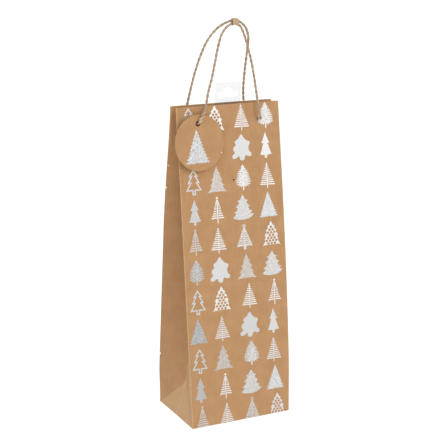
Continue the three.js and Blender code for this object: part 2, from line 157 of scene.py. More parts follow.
BACK_HANDLE_POINTS = [
    (-36.5, 14.164, 330.685), (-37, 15.4, 332.2), (-37.8, 16.1, 334.8), (-38.3, 15.8, 338.4),
    (-38.2, 14.7, 342.8), (-37.5, 13.1, 348.9), (-34.4, 10.7, 365.3), (-30.6, 8.2, 382.4),
    (-25.8, 5.8, 398.4), (-19.7, 3.8, 413), (-12.2, 2.3, 423.6), (-3, 1.2, 431.2),
    (6.3, 0.9, 434.9), (13.2, 0.8, 436.2), (19.4, 0.9, 433.5), (25, 1.6, 428.8),
    (29, 2.6, 421.4), (30.5, 3.8, 413.2), (29.9, 5.1, 404.5), (29.3, 6.6, 393.5),
    (28.6, 8.4, 381.3), (28.2, 10.7, 365), (29, 12.5, 352.6), (30.6, 14.3, 344.4),
    (32.6, 15.8, 338.4), (34.7, 16.1, 334.8), (36, 15.4, 332.2), (36.5, 14.164, 330.685),
]


# ---------- small helpers ----------


def turn(i, count):
    """The angle of step i of a circle's count steps."""
    return 2 * pi * i / count


def smoothstep(x):
    x = min(max(x, 0.0), 1.0)
    return x * x * (3 - 2 * x)


def add_to_scene(name, data):
    made = bpy.data.objects.new(name, data)
    bpy.context.scene.collection.objects.link(made)
    return made


def make_object(name, points, faces, uvs, material, sharp_angle=SHARP_DEGREES, folds=None):
    """A mesh object with smooth faces, sharp edges past an angle, and one UV for each point.

    folds is a second UV for each point: its distances in millimetres from two folds, which are painted paler,
    partly for wear and partly as a painted highlight. The second one is negative on the gussets' triangles, which
    are painted paler as painted light where they tilt up to the light."""
    mesh = bpy.data.meshes.new(name)
    mesh.from_pydata([tuple(p) for p in points], [], faces)
    mesh.update()
    for layer_name, values in (("UVMap", uvs), ("folds", folds)):
        if values is not None:
            layer = mesh.uv_layers.new(name=layer_name)
            for loop in mesh.loops:
                layer.data[loop.index].uv = values[loop.vertex_index]
    mesh.shade_smooth()
    mesh.set_sharp_from_angle(angle=radians(sharp_angle))
    mesh.materials.append(material)
    return add_to_scene(name, mesh)


def face_outwards(points, faces):
    """Turns every face round if the closed surface encloses a negative volume."""
    volume = sum(points[face[0]].dot(points[face[i]].cross(points[face[i + 1]]))
                 for face in faces for i in range(1, len(face) - 1))
    return [face[::-1] for face in faces] if volume < 0 else faces


def slab(outer, inner, wrap=False, split=None):
    """Points and faces of a closed thin solid between two grids of points with the same rows and columns."""
    rows, cols = len(outer), len(outer[0])
    points = [p for row in outer for p in row] + [p for row in inner for p in row]
    faces = []

    def at(side, r, c):
        return side * rows * cols + r * cols + c % cols

    for r in range(rows - 1):
        for c in range(cols if wrap else cols - 1):
            for side in (0, 1):
                a, b = at(side, r, c), at(side, r, c + 1)
                d, e = at(side, r + 1, c), at(side, r + 1, c + 1)
                quad = (a, b, e, d) if side == 0 else (a, d, e, b)
                faces += [quad[:3], quad[:1] + quad[2:]] if split and split(r, c) else [quad]
    last = rows - 1
    for c in range(cols if wrap else cols - 1):
        faces.append((at(0, 0, c), at(1, 0, c), at(1, 0, c + 1), at(0, 0, c + 1)))
        faces.append((at(0, last, c), at(0, last, c + 1), at(1, last, c + 1), at(1, last, c)))
    if not wrap:
        last = cols - 1
        for r in range(rows - 1):
            faces.append((at(0, r, 0), at(0, r + 1, 0), at(1, r + 1, 0), at(1, r, 0)))
            faces.append((at(0, r, last), at(1, r, last), at(1, r + 1, last), at(0, r + 1, last)))
    return points, face_outwards(points, faces)


def cut_away(target, cutters):
    """Cuts the cutters out of the target and removes them."""
    for cutter in cutters:
        modifier = target.modifiers.new("cut", "BOOLEAN")
        modifier.operation = "DIFFERENCE"
        modifier.solver = "EXACT"
        modifier.material_mode = "TRANSFER"
        modifier.object = cutter
        graph = bpy.context.evaluated_depsgraph_get()
        cut = bpy.data.meshes.new_from_object(target.evaluated_get(graph))
        target.modifiers.clear()
        target.data = cut
        bpy.data.objects.remove(cutter)
    target.data.shade_smooth()
    target.data.set_sharp_from_angle(angle=radians(SHARP_DEGREES))


# ---------- the leaning walls ----------


def wall_point(face, x, up, out=0.0):
    """A point of a wall: x across it, up along it, out from its outer face. face -1 is front, 1 is back."""
    y = HALF_DEPTH - up * SIN_LEAN + out * COS_LEAN
    return Vector((-face * x, face * y, up * COS_LEAN + out * SIN_LEAN))


def fold_shift(side, face, z):
    """How far the belly of the bag pushes a vertical fold from its straight line."""
    if side > 0 and face < 0:
        return Vector((1.5, -1.6, 0)) * MM * sin(pi * (max(z, 0) / PANEL_HEIGHT) ** 0.9)
    if side < 0 and face > 0:
        fade = 1 - smoothstep((z - 215 * MM) / (MOUTH_HEIGHT - 215 * MM))
        return Vector((-2.6, 2.0, 0)) * MM * (0.35 + 0.65 * smoothstep(z / (50 * MM))) * fade
    return Vector((0, 0, 0))


def wall_surface(face, x, up, out=0.0):
    """A point of a wall's paper, with its bow and its bellied folds."""
    flat = wall_point(face, x, up, out + wall_bow(face, x, up))
    share = (flat.x + HALF_WIDTH) / (2 * HALF_WIDTH)
    shift = fold_shift(-1, face, flat.z) * (1 - share) + fold_shift(1, face, flat.z) * share
    if face < 0:
        shift = shift + Vector((1.3 * MM * max(share, 0) ** 4 * smoothstep(flat.z / (60 * MM)), 0, 0))
    return flat + shift


def wall_bow(face, x, up):
    """How far the paper stands proud of the wall's flat face, fading out at its folds and stiff rim."""
    across = min(1.0, (HALF_WIDTH - abs(x)) / (14 * MM))
    along = min(1.0, up / (40 * MM), (PANEL_HEIGHT - STIFF_RIM_HEIGHT - up) / (50 * MM))
    fade = smoothstep(across) * smoothstep(along)
    swell = WALL_SWELL * sin(pi * up / PANEL_HEIGHT) * cos(pi * x / (2.2 * HALF_WIDTH))
    ripple = WALL_RIPPLE * noise.noise(Vector((x * 22, up * 9, 3.1 * face)))
    return (swell + ripple) * fade * MM


def fold_drop(x):
    """How far the outer face falls back as it rounds the vertical folds."""
    past = abs(x) - (HALF_WIDTH - FOLD_RADIUS)
    if past <= 0:
        return 0.0
    return FOLD_RADIUS - sqrt(max(0.0, FOLD_RADIUS**2 - past**2))


def wall_columns():
    """Places across the wall, close together where it rounds its vertical folds."""
    edge = [HALF_WIDTH - FOLD_RADIUS * (1 - sin(radians(a))) for a in (0, 25, 45, 60, 75, 90)]
    inner = list(np.linspace(-edge[0], edge[0], 41))
    return [-x for x in reversed(edge[1:])] + inner + edge[1:]


def wall_section():
    """The wall's section as (up, out, outer) from the outer foot over the rim to the inner foot."""
    top, radius = PANEL_HEIGHT, RIM_ROUNDING
    arc = [(radius * (1 - sin(radians(a))), radius * (1 - cos(radians(a)))) for a in (20, 45, 70, 90)]
    section = [(up, 0.0, 1) for up in np.linspace(PANEL_FOOT, top - radius, 72)]
    section += [(top - short, -drop, 1) for short, drop in arc]
    section.append((top, -RIM_THICKNESS + radius, 0))
    section += [(top - drop, -RIM_THICKNESS + short, 0) for short, drop in arc]
    lower = top - RIM_FOLD_HEIGHT
    section += [(up, -RIM_THICKNESS, 0) for up in np.linspace(top - 4 * MM, lower, 12)]
    section += [(lower, -RIM_THICKNESS + PAPER, 0), (lower - 1.5 * MM, -PAPER * 1.2, 0)]
    section += [(up, -PAPER, 0) for up in np.linspace(lower - 4 * MM, PANEL_FOOT, 40)]
    return section


def make_wall(face, label, material, hole_shade_material):
    """A wall's paper with its turned-over rim and punched holes, as one closed solid. The holes' walls get a
    near-black painted shade.
    """
    columns = wall_columns()
    section = wall_section()
    count = len(section)
    points, uvs, folds = [], [], []
    for x in columns:
        for up, out, outer in section:
            drop = fold_drop(x) if outer else 0.0
            across = x if outer else x * (1 - RIM_INSET / HALF_WIDTH)
            points.append(wall_surface(face, across, up, out - drop))
            uvs.append((x, up if outer else -up))
            folds.append(((HALF_WIDTH - abs(x)) / MM, (PANEL_HEIGHT - up) / MM + 0.6))
    faces = []
    for c in range(len(columns) - 1):
        for r in range(count):
            a, b = c * count + r, c * count + (r + 1) % count
            faces.append((a, b, b + count, a + count))
    # Each end is a ladder of triangles between the section's outer and inner lines.
    top_row = max(range(count), key=lambda r: section[r][0])
    near, far, end = 0, count - 1, count * (len(columns) - 1)
    while far - near > 1:
        step_near = far == top_row + 1 or (near < top_row and section[near + 1][0] <= section[far - 1][0])
        third = near + 1 if step_near else far - 1
        faces += [(far, third, near), (end + near, end + third, end + far)]
        near, far = (third, far) if step_near else (near, third)
    faces = face_outwards(points, faces)
    wall = make_object(label + "_wall_paper", points, faces, uvs, material, folds=folds)
    # The holes' walls take the cutters' near-black material: painted shade for the shadow in the holes.
    cut_away(wall, [hole_cutter(face, side, hole_shade_material) for side in (-1, 1)])
    return wall


def hole_cutter(face, side, material):
    """A round bar through a wall's hole. Its material passes to the hole's wall as painted shade."""
    sides = 40
    near, far = 6 * MM, -8 * MM
    points = []
    for out in (near, far):
        for i in range(sides):
            angle = turn(i, sides)
            x = side * HOLE_X + HOLE_RADIUS * cos(angle)
            points.append(wall_point(face, x, HOLE_UP + HOLE_RADIUS * sin(angle), out))
    faces = [tuple(range(sides)), tuple(range(2 * sides - 1, sides - 1, -1))]
    faces += [(i, sides + i, sides + (i + 1) % sides, (i + 1) % sides) for i in range(sides)]
    return make_object("cutter", points, face_outwards(points, faces), None, material)


# ---------- the gussets ----------


def half_depth_at(z):
    return HALF_DEPTH - z * TAN_LEAN


def crease_inset(z):
    """How far in the gusset's centre crease is folded at a height."""
    if z <= CREASE_FOOT_HEIGHT:
        return CREASE_FOOT_INSET

    def tight(h):
        return sqrt(HALF_DEPTH**2 - half_depth_at(h) ** 2)

    foot_share = CREASE_FOOT_INSET / tight(CREASE_FOOT_HEIGHT)
    rise = (z - CREASE_FOOT_HEIGHT) / (GUSSET_FULL_FOLD_HEIGHT - CREASE_FOOT_HEIGHT)
    return tight(z) * (foot_share + (1 - foot_share) * smoothstep(rise))


def gusset_point(side, face, share, z):
    """The middle of a gusset half's paper, from its wall's fold (share 0) in to the centre crease (share 1)."""
    rim_start = MOUTH_HEIGHT - RIM_FOLD_HEIGHT - GUSSET_RIM_RUN
    rim = smoothstep((z - rim_start) / GUSSET_RIM_RUN) if share > 0 else 0.0
    corner = half_depth_at(z) - (PAPER + (RIM_THICKNESS - PAPER + GUSSET_RIM_CLEARANCE) * rim)
    pinch = smoothstep((z / MOUTH_HEIGHT - 0.3) / 0.6)
    left = (1 - share) ** (1 + (GUSSET_PINCH - 1) * pinch)
    y = corner * left + CREASE_GAP * (1 - left)
    reach = crease_inset(z) * min(share, z / CREASE_FOOT_HEIGHT)
    swell = GUSSET_SWELL * sin(pi * share) * smoothstep((z - CREASE_FOOT_HEIGHT) / (60 * MM))
    ripple = GUSSET_SWELL * noise.noise(Vector((share * 2.1, z * 14, 5 * side + face)))
    ripple *= sin(pi * share) * smoothstep((z - CREASE_FOOT_HEIGHT) / (40 * MM))
    x = HALF_WIDTH - PAPER / 2 - reach + swell + ripple
    return Vector((side * x, face * y, z)) + fold_shift(side, face, z) * (1 - share) ** 1.3


def make_gusset_half(side, face, name, material):
    """Half of a gusset. Below the centre crease's foot its rows and columns meet on the diagonal crease."""
    shares = [0, 0.012] + [i / 14 for i in range(1, 15)]
    steps = len(shares) - 1
    heights = [max(PANEL_FOOT, CREASE_FOOT_HEIGHT * s) for s in shares]
    heights += list(np.linspace(CREASE_FOOT_HEIGHT, MOUTH_HEIGHT - 0.3 * MM, 70))[1:]
    middle = [[gusset_point(side, face, s, z) for s in shares] for z in heights]
    outer, inner = [], []
    for r, row in enumerate(middle):
        halves = []
        for c in range(steps + 1):
            if c in (0, steps):
                normal = Vector((side, 0, 0))
            else:
                up = middle[min(r + 1, len(middle) - 1)][c] - middle[max(r - 1, 0)][c]
                normal = (row[c + 1] - row[c - 1]).cross(up).normalized()
                if normal.x * side < 0:
                    normal.negate()
            halves.append(normal * PAPER / 2)
        outer.append([p + half for p, half in zip(row, halves)])
        inner.append([p - half for p, half in zip(row, halves)])
    points, faces = slab(outer, inner, split=lambda r, c: r == c and r < steps)
    uvs = [(face * (1 - s) * HALF_DEPTH + side, z) for z in heights for s in shares]
    slope = hypot(CREASE_FOOT_HEIGHT, HALF_DEPTH) * MM
    folds = [((1 - s) * HALF_DEPTH / MM, HALF_DEPTH * (z - CREASE_FOOT_HEIGHT * s) / slope)
             for z in heights for s in shares]
    return make_object(name, points, faces, uvs + uvs, material, sharp_angle=9, folds=folds + folds)


# ---------- the ropes ----------


def centripetal_curve(points, per_span):
    """Points along a centripetal Catmull-Rom curve through the given points."""

    def between(a, b, start, end):
        return a * ((end - t) / (end - start)) + b * ((t - start) / (end - start))

    pts = [Vector(p) for p in points]
    pts = [pts[0] * 2 - pts[1]] + pts + [pts[-1] * 2 - pts[-2]]
    made = []
    for i in range(1, len(pts) - 2):
        p0, p1, p2, p3 = pts[i - 1 : i + 3]
        t0 = 0.0
        t1 = t0 + sqrt((p1 - p0).length)
        t2 = t1 + sqrt((p2 - p1).length)
        t3 = t2 + sqrt((p3 - p2).length)
        for k in range(per_span):
            t = t1 + (t2 - t1) * k / per_span
            a1, a2, a3 = between(p0, p1, t0, t1), between(p1, p2, t1, t2), between(p2, p3, t2, t3)
            made.append(between(between(a1, a2, t0, t2), between(a2, a3, t1, t3), t1, t2))
    made.append(pts[-2])
    return made


def handle_path(points, per_span):
    return centripetal_curve([Vector(p) * MM for p in points], per_span)


def resample(points, step):
    """Evenly spaced points along a polyline."""
    lengths = [0.0]
    for a, b in zip(points, points[1:]):
        lengths.append(lengths[-1] + (b - a).length)
    count = max(2, round(lengths[-1] / step))
    made, k = [], 0
    for i in range(count + 1):
        want = lengths[-1] * i / count
        while k < len(points) - 2 and lengths[k + 1] < want:
            k += 1
        span = max(lengths[k + 1] - lengths[k], 1e-12)
        made.append(points[k].lerp(points[k + 1], min(1.0, (want - lengths[k]) / span)))
    return made


def carried_frames(path):
    """Two directions across a path at each point, carried along it without twisting."""
    tangents = [(after - before).normalized() for before, after in zip(path[:1] + path, path[1:] + path[-1:])]
    across = tangents[0].cross(Vector((0.3, 1, 0.2))).normalized()
    frames = []
    for tangent in tangents:
        across = (across - tangent * across.dot(tangent)).normalized()
        frames.append((across, tangent.cross(across)))
    return frames


def twisted_rope(name, path, material, phase=0.0, loose=0.0):
    """A two-ply rope round a path. loose is the length at its start where the plies open out."""
    path = resample(path, ROPE_STEP)
    frames = carried_frames(path)
    sides, rings = PLY_SIDES, len(path)
    points, faces, uvs = [], [], []
    for ply in (0, 1):
        first = len(points)
        for i, (p, (u, v)) in enumerate(zip(path, frames)):
            along = i * ROPE_STEP
            open_out = smoothstep(1 - abs(along - loose / 2) / (loose / 2)) if loose else 0.0
            wander = noise.noise(Vector((along * 90, phase, 7.0)))
            angle = phase + pi * ply + 2 * pi * along / ROPE_PITCH + 0.5 * wander
            offset = PLY_OFFSET * (1 + 1.5 * open_out)
            out = u * cos(angle) + v * sin(angle)
            side = u * -sin(angle) + v * cos(angle)
            radius = PLY_RADIUS * (1 + 0.12 * noise.noise(Vector((along * 260, ply * 9.0, phase))))
            radius *= 1 + 0.06 * open_out
            end = min(i, rings - 1 - i)
            if end < 2:
                radius *= (0.55, 0.88)[end]
            for k in range(sides):
                around = turn(k, sides)
                lobe = radius * (1 + 0.1 * cos(3 * around + along * 2400))
                spot = out * (offset + lobe * cos(around)) + side * (lobe * sin(around))
                points.append(p + spot)
                uvs.append((k / sides, along / MM))
        for i in range(rings - 1):
            for k in range(sides):
                a = first + i * sides + k
                b = first + i * sides + (k + 1) % sides
                faces.append((a, b, b + sides, a + sides))
        faces.append(tuple(first + k for k in reversed(range(sides))))
        faces.append(tuple(first + (rings - 1) * sides + k for k in range(sides)))
    return make_object(name, points, faces, uvs, material, sharp_angle=70)


# ---------- the foil trees ----------
# Each tree is a list of shapes in millimetres, and each shape is an outline and its holes.
# x runs from the middle, y from the foot of the trunk up to the apex at 28.


def mirrored(right_side):
    """A closed outline from its right side, listed from the apex down."""
    return right_side + [(-x, y) for x, y in reversed(right_side) if abs(x) > 1e-6]


def bar(x0, y0, x1, y1, width):
    """A straight stroke with blunt ends."""
    length = hypot(x1 - x0, y1 - y0)
    nx, ny = -(y1 - y0) / length * width / 2, (x1 - x0) / length * width / 2
    return [[(x0 - nx, y0 - ny), (x1 - nx, y1 - ny), (x1 + nx, y1 + ny), (x0 + nx, y0 + ny)]]


def disc(x, y, radius, sides=10):
    return [(x + radius * cos(turn(i, sides)), y + radius * sin(turn(i, sides))) for i in range(sides)]


def ring_stroke(outline, width):
    """A closed outline drawn as a stroke: the outline and the same line moved in."""
    moved = []
    for (x0, y0), (x1, y1), (x2, y2) in zip(outline[-1:] + outline, outline, outline[1:] + outline[:1]):
        a = Vector((x1 - x0, y1 - y0)).normalized()
        b = Vector((x2 - x1, y2 - y1)).normalized()
        normal_a, normal_b = Vector((a.y, -a.x)), Vector((b.y, -b.x))
        middle = normal_a + normal_b
        scale = width / max(0.45, 1 + normal_a.dot(normal_b))
        moved.append((x1 + middle.x * scale, y1 + middle.y * scale))
    return [outline, moved]


def tree_outline(draw):
    """An open zigzag drawn as a stroke."""
    side = [(0, 28), (5.6, 19.8), (3.2, 20), (7.2, 12.8), (4.6, 13), (9.2, 4.8), (2.1, 5), (2.1, 0.4)]
    return [ring_stroke(mirrored(side), 1.5)]


def tree_lattice(draw):
    """A jagged tree pierced by rows of round holes."""
    side = [(0, 28.6), (1.3, 26.6), (2, 24.4), (4.4, 22.8), (3.6, 20.6), (6.4, 18.4), (5.4, 16.2), (8, 13.4),
            (6.8, 11.2), (8.2, 8.6), (7.6, 6.8), (10.6, 1.4), (8, 2.4)]
    holes = []
    for row in range(8):
        y = 3.9 + 3.0 * row
        half = 10.4 * (1 - y / 33.6)
        for k in range(-3, 4):
            x = 3.9 * k + (1.95 if row % 2 else 0)
            if abs(x) + 1.5 < half:
                holes.append(disc(x, y, 1.5, 12))
    return [[mirrored(side)] + holes]


def tree_striped(draw):
    """Slightly tilted bars round a thin trunk."""
    shapes = [bar(0, 0, 0, 25.5, 0.9)]
    shapes.append([[(0, 28.4), (1.1, 25.4), (-1.1, 25.4)]])
    for k in range(10):
        y = 4.3 + 2.18 * k
        half = 9.1 * (1 - (y - 3) / 25.8)
        tilt = draw.uniform(-0.4, 0.15)
        shapes.append(bar(-half, y - tilt, half, y + tilt, 1.25 - 0.025 * k))
    return shapes


def tree_feathered(draw):
    """A full tree of tufted branches with slits between its needles."""

    def half_width(y):
        return 8.8 * sin(min(1, (29.4 - y) / 17) * pi / 2)

    side = [(0, 28.6)]
    for k in range(9):
        y = 26.8 - 2.3 * k
        reach = half_width(y) * draw.uniform(0.92, 1.06)
        side += [(reach * 0.56, y), (reach * 1.08, y - 1.2), (reach * 0.86, y - 1.5), (reach * 0.98, y - 2.2),
                 (reach * 0.58, y - 1.7)]
    side += [(6.2, 4.4), (3.6, 5.4), (2.6, 3.4), (1.5, 5.2), (0.8, 4.8), (0.8, 0.3)]
    holes = []
    for k in range(9):
        y = 8.2 + 2.0 * k
        reach = half_width(y) * 0.5
        x = (0.1 + 0.8 * draw.random()) * reach * (1 if k % 2 else -1)
        lean = 1.0 if x > 0 else -1.0
        if reach > 1.6:
            holes.append([(x, y), (x + lean * 0.8, y - 1.2), (x + lean * 1.7, y - 1.3), (x + lean, y - 0.3)])
    return [[mirrored(side)] + holes]


def tree_lobed(draw):
    """A plump tree with rounded lobes."""
    knots = [(0.6, 28.4), (2.6, 25.2), (5.6, 21.8), (9.4, 20.2), (9.9, 17.8), (8.3, 14.4), (8.5, 11.2), (9.6, 9),
             (11.4, 7.2), (10.8, 4.4), (7.6, 4.2), (4.9, 5.4), (3.5, 3.8), (2.4, 0.7), (-0.2, 0.1), (-2.2, 1.4),
             (-3, 4.4), (-4.8, 4.4), (-7.4, 2.6), (-10.8, 2.8), (-11.2, 5.6), (-8.6, 8), (-8.4, 9.6),
             (-9.8, 12), (-9.2, 14.8), (-6.8, 16.8), (-6.9, 18.6), (-7.6, 20.2), (-6, 22.2), (-3.6, 23.6),
             (-1.6, 26.6)]
    count = len(knots)
    outline = []
    for i in range(count):
        p0, p1, p2, p3 = (Vector(knots[(i + k) % count]) for k in (-1, 0, 1, 2))
        for t in (0, 0.25, 0.5, 0.75):
            q = 0.5 * (2 * p1 + (p2 - p0) * t + (2 * p0 - 5 * p1 + 4 * p2 - p3) * t * t
                       + (3 * p1 - p0 - 3 * p2 + p3) * t**3)
            outline.append((q.x, q.y))
    return [[outline]]


def tree_two_tier(draw):
    """A slim tree of two tiers on a short trunk."""
    side = [(0, 28.5), (1.4, 24.6), (3.4, 19.6), (5, 16.4), (3.6, 16.8), (2.6, 16.4), (3.8, 12.6), (5.4, 7.6),
            (6.8, 4.4), (4.6, 4), (1.3, 3.6), (1.5, 1.2), (0.9, 0.3)]
    return [[mirrored(side)]]


def tree_jagged(draw):
    """A tree of five drooping tiers without a trunk."""
    side = [(0, 28.8), (1.6, 24.8), (2.2, 23), (4.4, 20.6), (3.2, 20), (4, 17.8), (6.8, 14.2), (4.8, 14.2),
            (5.8, 11.2), (8.6, 8.2), (6.6, 8.2), (7.8, 5), (11.4, 0.9), (5, 1.7)]
    return [[mirrored(side)]]


def tree_fine(draw):
    """A thin striped tree with a dot on top and a long trunk."""
    shapes = [[disc(0, 27.6, 1.2)], bar(0, 0, 0, 26, 1.1)]
    for side in (-1, 1):
        shapes.append(bar(side * 0.6, 25.6, side * 3.6, 15.6, 0.65))
        shapes.append(bar(side * 0.9, 23, side * 2, 15.4, 0.5))
        for k in range(5):
            y = 5.8 + 2.45 * k
            half = 7.8 * (1 - (y - 4.4) / 21)
            shapes.append(bar(side, y + 0.4, side * half, y - 0.1, 1.4 - 0.07 * k))
    return shapes


def tree_swoosh(draw):
    """A jagged tree whose lowest tier curves up at both ends."""
    outline = [(0.2, 28.6), (2.2, 24.4), (4, 22.6), (6.2, 22), (4.4, 20.2), (5.4, 17.4), (8.6, 15.6), (6.4, 14.2),
               (7.4, 11.4), (11.2, 9.6), (8.6, 8.6), (9.6, 6.8), (12.6, 6.6), (10.4, 3.8), (6.4, 1.8), (1.2, 0.9),
               (-4.6, 1), (-8.6, 1.9), (-12.2, 3.6), (-9.2, 6.2), (-8, 7.8), (-10.6, 9), (-7.2, 11.6),
               (-6, 13.8), (-8.6, 15.4), (-5.2, 18), (-4, 19.8), (-6.2, 21.4), (-3.2, 23.2), (-1.4, 25.8)]
    return [[outline]]


def tree_rough(draw, width=11.4):
    """A solid triangle with ragged sides and a ragged foot."""
    height, foot, teeth = 28.6, 1.2, 10
    side = [(0, height)]
    for k in range(teeth):
        y = height - (height - foot - 0.8) * (k + 1) / teeth
        reach = width * (height - y) / (height - foot)
        side += [(reach * 0.8, y + 1.3), (reach + draw.uniform(-0.1, 0.7), y + 0.1), (reach * 0.9, y - 0.2)]
    for k in range(7):
        x = width * (0.84 - 0.12 * k)
        side += [(x + 0.3, foot - draw.uniform(0.1, 0.9)), (x - 0.4, foot + 0.7)]
    return [[mirrored(side)]]


def tree_spiral(draw):
    """A cone wound with garlands, which leave slanting gaps, and a small ring on top."""
    side = [(0, 25.2)]
    for k in range(8):
        y = 23.0 - 2.35 * k
        half = 9.9 * (1 - (y - 3.8) / 22.4)
        side += [(half * 0.84, y + 1.1), (half + 0.5, y), (half * 0.92, y - 0.5)]
    side += [(9.4, 3.9), (5, 4.6), (1.7, 4.4), (1.5, 0.6)]
    holes = []
    for k in range(7):
        y = 6.6 + 2.35 * k
        half = 9.9 * (1 - (y - 3) / 22) - 1.1
        tilt = 0.55 if k % 2 else -0.35
        start, end = y - tilt, y + tilt * 0.4
        for low, high in ((-1, -0.1), (0.12, 0.95)):
            left, right = half * low, half * high
            if right - left > 0.9:
                holes.append([(left, start), (right, end), (right, end + 0.75), (left, start + 0.75)])
    return [[disc(0, 26.8, 1.9, 14), disc(0, 26.8, 0.85, 12)], [mirrored(side)] + holes]


# A letter for each drawing: its outlines, and how bright, glittery and worn its foil is. Its glitter is painted
# glints: the foil darkened in random cells.
TREES = {
    "A": (tree_outline, 0.97, 0.15, 0.10), "B": (tree_lattice, 0.86, 0.10, 0.05),
    "C": (tree_striped, 0.92, 0.15, 0.10), "D": (tree_feathered, 0.88, 0.40, 0.15),
    "E": (tree_lobed, 0.72, 0.10, 0.00), "F": (tree_two_tier, 0.88, 0.25, 0.15),
    "G": (tree_jagged, 0.74, 0.55, 0.50), "H": (tree_fine, 0.95, 0.10, 0.10),
    "I": (tree_swoosh, 0.80, 0.45, 0.15), "J": (tree_rough, 0.90, 0.50, 0.00),
    "K": (tree_spiral, 0.86, 0.40, 0.15),
}
# The drawings of each row from the top, and the middle of each across the panel in millimetres.
TREE_ROWS = (
    ("ABCD", (-46.5, -16, 15, 43.5)), ("JCEF", (-44.5, -22.5, 13.5, 42)), ("AGDC", (-44.5, -17.5, 13.5, 42)),
    ("FHIJ", (-45, -18.5, 11.5, 41.5)), ("HCKB", (-45.5, -19, 11.5, 43.5)), ("DEGI", (-46, -19, 12.5, 43)),
    ("ABCH", (-46.5, -18.5, 14.5, 44.5)), ("JCEF", (-47.5, -19.5, 13.5, 42)), ("AGDC", (-47.5, -19.5, 14.5, 41.5)),
    ("FHIJ", (-48, -18, 13, 42.5)), ("HCKB", (-47, -17.5, 13.5, 45)),
)


def kept_above(loop, floor):
    """The part of an outline of (x, y) points above a height."""
    made = []
    for (x0, y0), (x1, y1) in zip(loop, loop[1:] + loop[:1]):
        if y0 >= floor:
            made.append((x0, y0))
        if (y0 >= floor) != (y1 >= floor):
            t = (floor - y0) / (y1 - y0)
            made.append((x0 + (x1 - x0) * t, floor))
    return made if len(made) >= 3 else []


def clear_of_holes(x, up):
    """Moves a point of the print out of the punched holes."""
    for side in (-1, 1):
        away = Vector((x - side * HOLE_X, up - HOLE_UP))
        if away.length < HOLE_RADIUS * 1.06:
            away = away.normalized() * HOLE_RADIUS * 1.06
            return side * HOLE_X + away.x, HOLE_UP + away.y
    return x, up


def inside(loops, x, y):
    """Whether an odd number of the loops' edges lie to the right of a point."""
    odd = False
    for loop in loops:
        for (x0, y0), (x1, y1) in zip(loop, loop[1:] + loop[:1]):
            if (y0 > y) != (y1 > y) and x < x0 + (x1 - x0) * (y - y0) / (y1 - y0):
                odd = not odd
    return odd


def with_short_edges(loop, longest):
    """A closed outline with its long edges divided."""
    made = []
    for (x0, y0), (x1, y1) in zip(loop, loop[1:] + loop[:1]):
        parts = max(1, ceil(hypot(x1 - x0, y1 - y0) / longest))
        made += [(x0 + (x1 - x0) * i / parts, y0 + (y1 - y0) * i / parts) for i in range(parts)]
    return made


def add_plate(shape, place, points, faces, longest=TREE_EDGE):
    """Adds a thin closed plate for one shape. place(x, y, lift) gives a point of its top or its underside.

    longest, in the shape's own unit, is the spacing of the points that let the plate follow bowed paper."""
    loops = [with_short_edges(loop, longest) for loop in shape if len(loop) >= 3]
    if not loops:
        return
    flat, edges = [], []
    for loop in loops:
        start, size = len(flat), len(loop)
        flat += [Vector(p) for p in loop]
        edges += [(start + i, start + (i + 1) % size) for i in range(size)]
    low_x, high_x = min(p.x for p in flat), max(p.x for p in flat)
    low_y, high_y = min(p.y for p in flat), max(p.y for p in flat)
    for i in range(1, int((high_x - low_x) / longest) + 1):
        for j in range(1, int((high_y - low_y) / longest) + 1):
            spot = Vector((low_x + (i - 0.5) * longest, low_y + (j - 0.4) * longest))
            if inside(loops, spot.x, spot.y):
                flat.append(spot)
    corners, _, triangles, *_ = delaunay_2d_cdt(flat, edges, [], 0, 1e-7)
    kept = []
    for a, b, c in triangles:
        middle = (corners[a] + corners[b] + corners[c]) / 3
        if inside(loops, middle.x, middle.y):
            area = (corners[b] - corners[a]).cross(corners[c] - corners[a])
            kept.append((a, b, c) if area > 0 else (a, c, b))
    used = sorted({i for triangle in kept for i in triangle})
    first, count = len(points), len(used)
    number = {corner: first + i for i, corner in enumerate(used)}
    for lift in (FOIL_LIFT, -FOIL_SINK):
        points += [place(corners[i].x, corners[i].y, lift) for i in used]
    sides = set()
    for a, b, c in kept:
        a, b, c = number[a], number[b], number[c]
        faces += [(a, b, c), (a + count, c + count, b + count)]
        sides |= {(a, b), (b, c), (c, a)}
    for a, b in sorted(sides):
        if (b, a) not in sides:
            faces.append((b, a, a + count, b + count))


def foil_object(name, points, faces, looks, material):
    """A foil mesh. looks gives each face's brightness, glitter and wear."""
    made = make_object(name, points, faces, [(p.x, p.z) for p in points], material, sharp_angle=30)
    layer = made.data.attributes.new("foil", "FLOAT_VECTOR", "FACE")
    layer.data.foreach_set("vector", [value for look in looks for value in look])
    return made


def make_print(face, label, material):
    """The foil trees of one wall, cut off at its foot."""
    draw = random.Random(20 + face)
    points, faces, looks = [], [], []

    def place(x, up, lift):
        return wall_surface(face, x, up, lift - fold_drop(x))

    for row, (kinds, middles) in enumerate(TREE_ROWS):
        foot = TREE_TOP - TREE_PITCH * row - TREE_HEIGHT
        for kind, middle in zip(kinds, middles):
            drawing, bright, glitter, worn = TREES[kind]
            # Painted reflection: foil left of LEFT_COLUMN is darkened to 0.7, for the darker surroundings it
            # reflects at a glancing angle. The level also falls a little with each row towards the bottom.
            painted_reflection_and_row_level = (1.02 - 0.022 * row) * (0.7 if middle < LEFT_COLUMN else 1.0)
            look = (bright * draw.uniform(0.92, 1.06) * painted_reflection_and_row_level, glitter, worn)
            for shape in drawing(draw):
                loops = []
                for loop in shape:
                    sheet = [clear_of_holes((middle + x) * MM, foot + y * MM) for x, y in loop]
                    loops.append(kept_above(sheet, PANEL_FOOT + 0.3 * MM))
                add_plate(loops, place, points, faces)
                looks += [look] * (len(faces) - len(looks))
    return foil_object(label + "_foil_trees", points, faces, looks, material)


